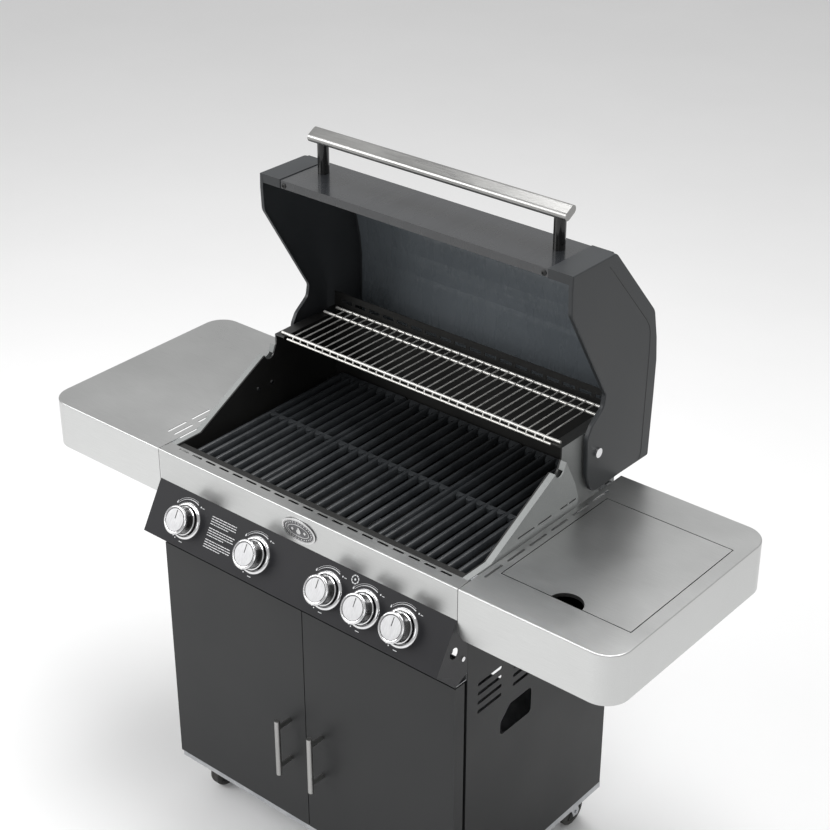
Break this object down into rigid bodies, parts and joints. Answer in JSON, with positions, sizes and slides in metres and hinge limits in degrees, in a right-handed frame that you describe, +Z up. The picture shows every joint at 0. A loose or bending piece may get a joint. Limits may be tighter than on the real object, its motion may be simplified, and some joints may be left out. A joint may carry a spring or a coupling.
{
  "type": "gas barbecue grill",
  "caption": "Gas barbecue grill on a wheeled cabinet with doors, a tilting lid, cast grates, a warming rack, a sloping knob panel and side tables with a covered side burner.",
  "frame": {"origin": "on the floor, below the middle of the whole grill with its lid open", "axes": "+X to the right of a cook standing in front, +Y to the back, +Z up"},
  "size_m": [1.47, 0.7, 1.4922],
  "materials": {
    "brushed_stainless": "brushed stainless steel, fine lengthwise grain",
    "polished_bar": "brushed stainless tube",
    "anthracite_paint": "satin anthracite powder coat",
    "lid_enamel": "gloss black enamel",
    "cap_paint": "fine textured grey-black paint",
    "firebox_enamel": "black enamel",
    "cast_iron": "matte enamelled cast iron",
    "chrome_wire": "bright chrome",
    "gloss_black": "gloss black moulding",
    "galvanised_steel": "zinc-plated steel",
    "brass": "machined brass",
    "ceramic_white": "glazed ceramic",
    "wheel_black": "matte black tread"
  },
  "bodies": {
    "root": {"cabinet_left_panel": "anthracite_paint", "cabinet_right_panel": "anthracite_paint", "cabinet_back_panel": "galvanised_steel", "cabinet_base": "galvanised_steel", "cabinet_front_rail": "galvanised_steel", "door_hinge_pins": "chrome_wire", "table_brackets": "galvanised_steel", "left_side_table": "brushed_stainless", "right_side_table": "brushed_stainless", "firebox_tub": "firebox_enamel", "firebox_left_side": "firebox_enamel", "firebox_right_side": "firebox_enamel", "front_fascia": "brushed_stainless", "control_panel": "anthracite_paint", "badge": "chrome_wire", "knob_bezels": "chrome_wire", "gas_manifold": "galvanised_steel", "valve_bodies": "brass", "main_burners": "galvanised_steel", "flame_tamers": "firebox_enamel", "igniters": "ceramic_white", "side_burner_bowl": "firebox_enamel", "side_burner_head": "brass", "side_burner_grid": "cast_iron", "cabinet_screws": "chrome_wire", "lid_hinge_bolts": "chrome_wire"},
    "lid": {"lid_shell": "lid_enamel", "lid_left_cap": "cap_paint", "lid_right_cap": "cap_paint", "lid_handle_bar": "polished_bar", "lid_handle_posts": "gloss_black", "lid_screws": "chrome_wire"},
    "left_door_leaf": {"left_door": "anthracite_paint", "left_door_handle": "polished_bar"},
    "right_door_leaf": {"right_door": "anthracite_paint", "right_door_handle": "polished_bar"},
    "cover": {"side_burner_cover": "brushed_stainless"},
    "tray": {"grease_tray": "galvanised_steel"},
    "left_grate": {"grate_left": "cast_iron"},
    "middle_grate": {"grate_middle": "cast_iron"},
    "right_grate": {"grate_right": "cast_iron"},
    "rack": {"warming_rack": "chrome_wire"},
    "stem_1": {"valve_stem_1": "galvanised_steel"},
    "knob_body_1": {"knob_1": "gloss_black"},
    "stem_2": {"valve_stem_2": "galvanised_steel"},
    "knob_body_2": {"knob_2": "gloss_black"},
    "stem_3": {"valve_stem_3": "galvanised_steel"},
    "knob_body_3": {"knob_3": "gloss_black"},
    "stem_4": {"valve_stem_4": "galvanised_steel"},
    "knob_body_4": {"knob_4": "gloss_black"},
    "stem_5": {"valve_stem_5": "galvanised_steel"},
    "knob_body_5": {"knob_5": "gloss_black"},
    "fork_front_left": {"caster_fork_front_left": "galvanised_steel"},
    "wheel_front_left": {"caster_wheel_front_left": "wheel_black"},
    "fork_front_right": {"caster_fork_front_right": "galvanised_steel"},
    "wheel_front_right": {"caster_wheel_front_right": "wheel_black"},
    "fork_rear_left": {"caster_fork_rear_left": "galvanised_steel"},
    "wheel_rear_left": {"caster_wheel_rear_left": "wheel_black"},
    "fork_rear_right": {"caster_fork_rear_right": "galvanised_steel"},
    "wheel_rear_right": {"caster_wheel_rear_right": "wheel_black"}
  },
  "joints": [
    {"name": "lid_hinge", "type": "hinge", "parent": "root", "child": "lid", "pos_m": [0, 0.15602, 0.992], "axis": [1, 0, 0], "range_deg": [0, 86.4]},
    {"name": "left_door_hinge", "type": "hinge", "parent": "root", "child": "left_door_leaf", "pos_m": [-0.383, -0.26098, 0.4], "axis": [0, 0, -1], "range_deg": [0, 100]},
    {"name": "right_door_hinge", "type": "hinge", "parent": "root", "child": "right_door_leaf", "pos_m": [0.383, -0.26098, 0.4], "axis": [0, 0, 1], "range_deg": [0, 100]},
    {"name": "cover_hinge", "type": "hinge", "parent": "root", "child": "cover", "pos_m": [0.563, 0.14902, 0.896], "axis": [-1, 0, 0], "range_deg": [0, 95]},
    {"name": "tray_slide", "type": "slide", "parent": "root", "child": "tray", "axis": [0, 1, 0], "range_m": [0, 0.25]},
    {"name": "left_grate_lift", "type": "slide", "parent": "root", "child": "left_grate", "axis": [0, 0, -1], "range_m": [-0.08, 0]},
    {"name": "middle_grate_lift", "type": "slide", "parent": "root", "child": "middle_grate", "axis": [0, 0, -1], "range_m": [-0.08, 0]},
    {"name": "right_grate_lift", "type": "slide", "parent": "root", "child": "right_grate", "axis": [0, 0, -1], "range_m": [-0.08, 0]},
    {"name": "rack_lift", "type": "slide", "parent": "root", "child": "rack", "axis": [0, 0, -1], "range_m": [-0.12, 0]},
    {"name": "knob_1_push", "type": "slide", "parent": "root", "child": "stem_1", "axis": [0, 0.866, -0.5], "range_m": [0, 0.004], "stiffness_N_per_m": 1500, "springref_m": -0.002},
    {"name": "knob_1_turn", "type": "hinge", "parent": "stem_1", "child": "knob_body_1", "pos_m": [-0.29, -0.3213, 0.79077], "axis": [0, -0.866, 0.5], "range_deg": [0, 180]},
    {"name": "knob_2_push", "type": "slide", "parent": "root", "child": "stem_2", "axis": [0, 0.866, -0.5], "range_m": [0, 0.004], "stiffness_N_per_m": 1500, "springref_m": -0.002},
    {"name": "knob_2_turn", "type": "hinge", "parent": "stem_2", "child": "knob_body_2", "pos_m": [-0.095, -0.3213, 0.79077], "axis": [0, -0.866, 0.5], "range_deg": [0, 180]},
    {"name": "knob_3_push", "type": "slide", "parent": "root", "child": "stem_3", "axis": [0, 0.866, -0.5], "range_m": [0, 0.004], "stiffness_N_per_m": 1500, "springref_m": -0.002},
    {"name": "knob_3_turn", "type": "hinge", "parent": "stem_3", "child": "knob_body_3", "pos_m": [0.095, -0.3213, 0.79077], "axis": [0, -0.866, 0.5], "range_deg": [0, 180]},
    {"name": "knob_4_push", "type": "slide", "parent": "root", "child": "stem_4", "axis": [0, 0.866, -0.5], "range_m": [0, 0.004], "stiffness_N_per_m": 1500, "springref_m": -0.002},
    {"name": "knob_4_turn", "type": "hinge", "parent": "stem_4", "child": "knob_body_4", "pos_m": [0.19, -0.3213, 0.79077], "axis": [0, -0.866, 0.5], "range_deg": [0, 180]},
    {"name": "knob_5_push", "type": "slide", "parent": "root", "child": "stem_5", "axis": [0, 0.866, -0.5], "range_m": [0, 0.004], "stiffness_N_per_m": 1500, "springref_m": -0.002},
    {"name": "knob_5_turn", "type": "hinge", "parent": "stem_5", "child": "knob_body_5", "pos_m": [0.284, -0.3213, 0.79077], "axis": [0, -0.866, 0.5], "range_deg": [0, 180]},
    {"name": "swivel_front_left", "type": "hinge", "parent": "root", "child": "fork_front_left", "pos_m": [-0.34, -0.22498, 0.1], "axis": [0, 0, 1], "continuous": true},
    {"name": "spin_front_left", "type": "hinge", "parent": "fork_front_left", "child": "wheel_front_left", "pos_m": [-0.34, -0.19498, 0.0375], "axis": [1, 0, 0], "continuous": true},
    {"name": "swivel_front_right", "type": "hinge", "parent": "root", "child": "fork_front_right", "pos_m": [0.34, -0.22498, 0.1], "axis": [0, 0, 1], "continuous": true},
    {"name": "spin_front_right", "type": "hinge", "parent": "fork_front_right", "child": "wheel_front_right", "pos_m": [0.34, -0.19498, 0.0375], "axis": [1, 0, 0], "continuous": true},
    {"name": "swivel_rear_left", "type": "hinge", "parent": "root", "child": "fork_rear_left", "pos_m": [-0.34, 0.17002, 0.1], "axis": [0, 0, 1], "continuous": true},
    {"name": "spin_rear_left", "type": "hinge", "parent": "fork_rear_left", "child": "wheel_rear_left", "pos_m": [-0.34, 0.20002, 0.0375], "axis": [1, 0, 0], "continuous": true},
    {"name": "swivel_rear_right", "type": "hinge", "parent": "root", "child": "fork_rear_right", "pos_m": [0.34, 0.17002, 0.1], "axis": [0, 0, 1], "continuous": true},
    {"name": "spin_rear_right", "type": "hinge", "parent": "fork_rear_right", "child": "wheel_rear_right", "pos_m": [0.34, 0.20002, 0.0375], "axis": [1, 0, 0], "continuous": true}
  ]
}
